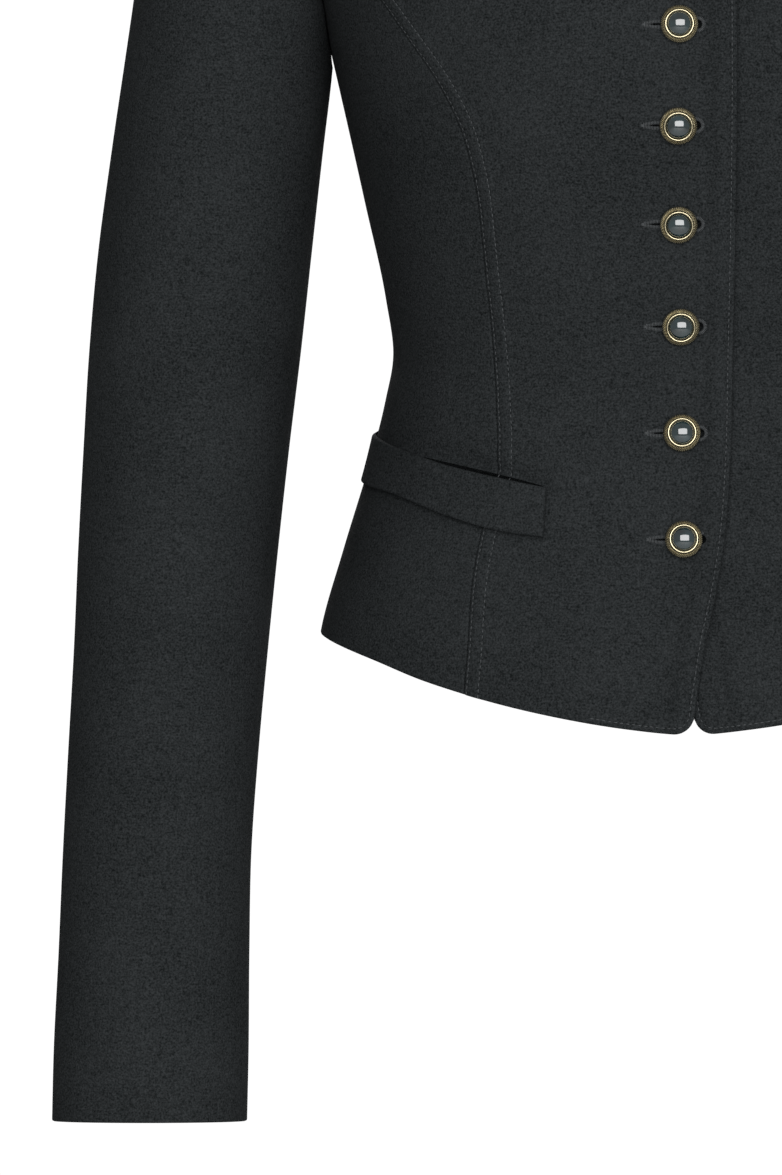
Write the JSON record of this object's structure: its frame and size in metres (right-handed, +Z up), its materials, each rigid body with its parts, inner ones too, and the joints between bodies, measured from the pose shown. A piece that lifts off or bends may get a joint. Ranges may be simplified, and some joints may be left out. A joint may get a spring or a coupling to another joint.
{
  "type": "dirndl jacket",
  "caption": "Fitted collarless jacket of boiled wool with round neck, long set-in sleeves, princess seams, pocket welts, pointed front hem and a button closing.",
  "frame": {"origin": "on the centre plane at the height of the neck points, where the wearer's shoulders carry the jacket", "axes": "+Z up the body, -Y out of the front, +X towards the wearer's left"},
  "size_m": [0.5374, 0.2574, 0.7196],
  "materials": {
    "boiled_wool": "felted, short nap",
    "antique_brass": "antique, polished inner ring",
    "dark_pearl": "glossy dome"
  },
  "bodies": {
    "root": {"front_right": "boiled_wool", "front_left": "boiled_wool", "side_front_right": "boiled_wool", "side_front_left": "boiled_wool", "side_back_right": "boiled_wool", "side_back_left": "boiled_wool", "back_centre": "boiled_wool", "sleeve_upper_right": "boiled_wool", "sleeve_upper_left": "boiled_wool", "sleeve_under_right": "boiled_wool", "sleeve_under_left": "boiled_wool", "welt_right": "boiled_wool", "welt_left": "boiled_wool", "button_rim_1": "antique_brass", "button_rim_2": "antique_brass", "button_rim_3": "antique_brass", "button_rim_4": "antique_brass", "button_rim_5": "antique_brass", "button_rim_6": "antique_brass", "button_rim_7": "antique_brass", "button_rim_8": "antique_brass", "button_rim_9": "antique_brass", "button_cap_1": "dark_pearl", "button_cap_2": "dark_pearl", "button_cap_3": "dark_pearl", "button_cap_4": "dark_pearl", "button_cap_5": "dark_pearl", "button_cap_6": "dark_pearl", "button_cap_7": "dark_pearl", "button_cap_8": "dark_pearl", "button_cap_9": "dark_pearl"}
  },
  "joints": []
}
